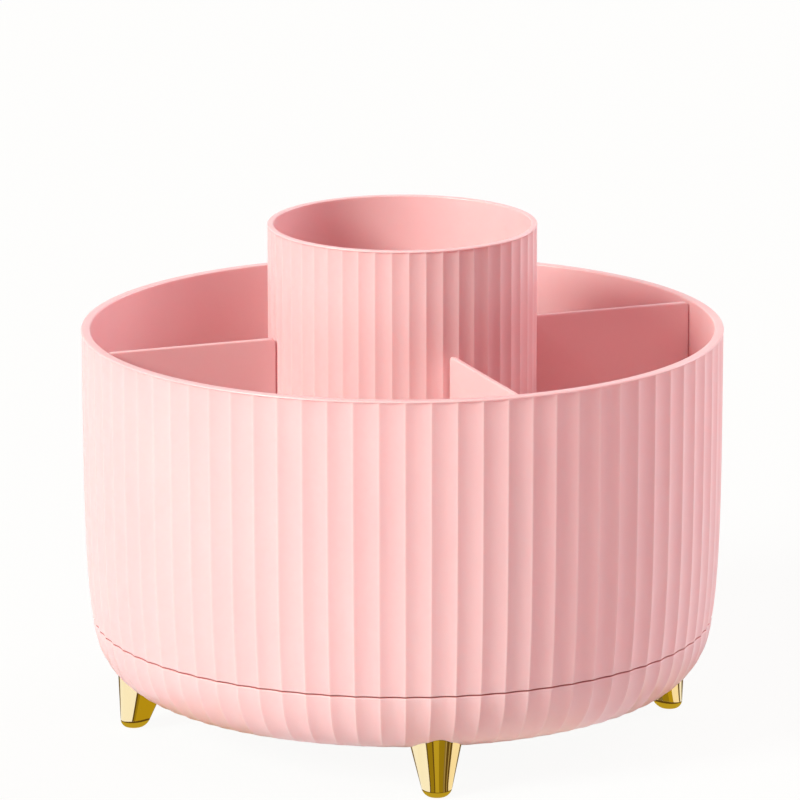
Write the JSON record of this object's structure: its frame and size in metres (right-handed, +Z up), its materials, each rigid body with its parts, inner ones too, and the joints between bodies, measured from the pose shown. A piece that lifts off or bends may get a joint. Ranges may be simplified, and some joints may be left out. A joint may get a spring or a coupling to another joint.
{
  "type": "rotating makeup organizer",
  "caption": "Round fluted carousel organizer: a tub with radial dividers and a tall centre cup turns on a shallow bowl with gold feet.",
  "frame": {"origin": "centre of the plane that the feet rest on, on the axis that the tub turns about", "axes": "+Z up along the turning axis; -Y is the front, between the foot nearest the viewer and the viewer; +X is the viewer's right"},
  "size_m": [0.24, 0.24, 0.1918],
  "materials": {
    "pink_plastic": "satin-gloss moulded plastic, pale pink",
    "gold": "polished gold plating",
    "steel": "bright zinc plating",
    "bearing_plastic": "matt natural plastic"
  },
  "bodies": {
    "base": {"base_bowl": "pink_plastic", "foot_front": "gold", "foot_right": "gold", "foot_rear": "gold", "foot_left": "gold", "foot_screws": "steel", "lower_race": "bearing_plastic", "lower_race_screws": "steel", "pivot_pin": "steel", "pivot_washer": "steel", "pivot_screw": "steel"},
    "cage": {"ball_cage": "bearing_plastic", "bearing_balls": "steel"},
    "turntable": {"tub": "pink_plastic", "upper_race": "bearing_plastic", "upper_race_screws": "steel", "pivot_bush": "bearing_plastic", "hub_cap": "pink_plastic"},
    "cup": {"centre_cup": "pink_plastic"},
    "divider_front_right_plate": {"divider_front_right": "pink_plastic"},
    "divider_rear_right_plate": {"divider_rear_right": "pink_plastic"},
    "divider_rear_left_plate": {"divider_rear_left": "pink_plastic"},
    "divider_front_left_plate": {"divider_front_left": "pink_plastic"}
  },
  "joints": [
    {"name": "tub_spin", "type": "hinge", "parent": "base", "child": "turntable", "pos_m": [0, 0, 0.04165], "axis": [0, 0, 1], "continuous": true},
    {"name": "cage_spin", "type": "hinge", "parent": "base", "child": "cage", "pos_m": [0, 0, 0.04165], "axis": [0, 0, 1], "continuous": true},
    {"name": "cup_lift", "type": "slide", "parent": "turntable", "child": "cup", "axis": [0, 0, 1], "range_m": [0, 0.15]},
    {"name": "divider_front_right_lift", "type": "slide", "parent": "turntable", "child": "divider_front_right_plate", "axis": [0, 0, 1], "range_m": [0, 0.11]},
    {"name": "divider_rear_right_lift", "type": "slide", "parent": "turntable", "child": "divider_rear_right_plate", "axis": [0, 0, 1], "range_m": [0, 0.11]},
    {"name": "divider_rear_left_lift", "type": "slide", "parent": "turntable", "child": "divider_rear_left_plate", "axis": [0, 0, 1], "range_m": [0, 0.11]},
    {"name": "divider_front_left_lift", "type": "slide", "parent": "turntable", "child": "divider_front_left_plate", "axis": [0, 0, 1], "range_m": [0, 0.11]}
  ],
  "couplings": [
    {"joint": "cage_spin", "follows": "tub_spin", "ratio": 0.5}
  ]
}
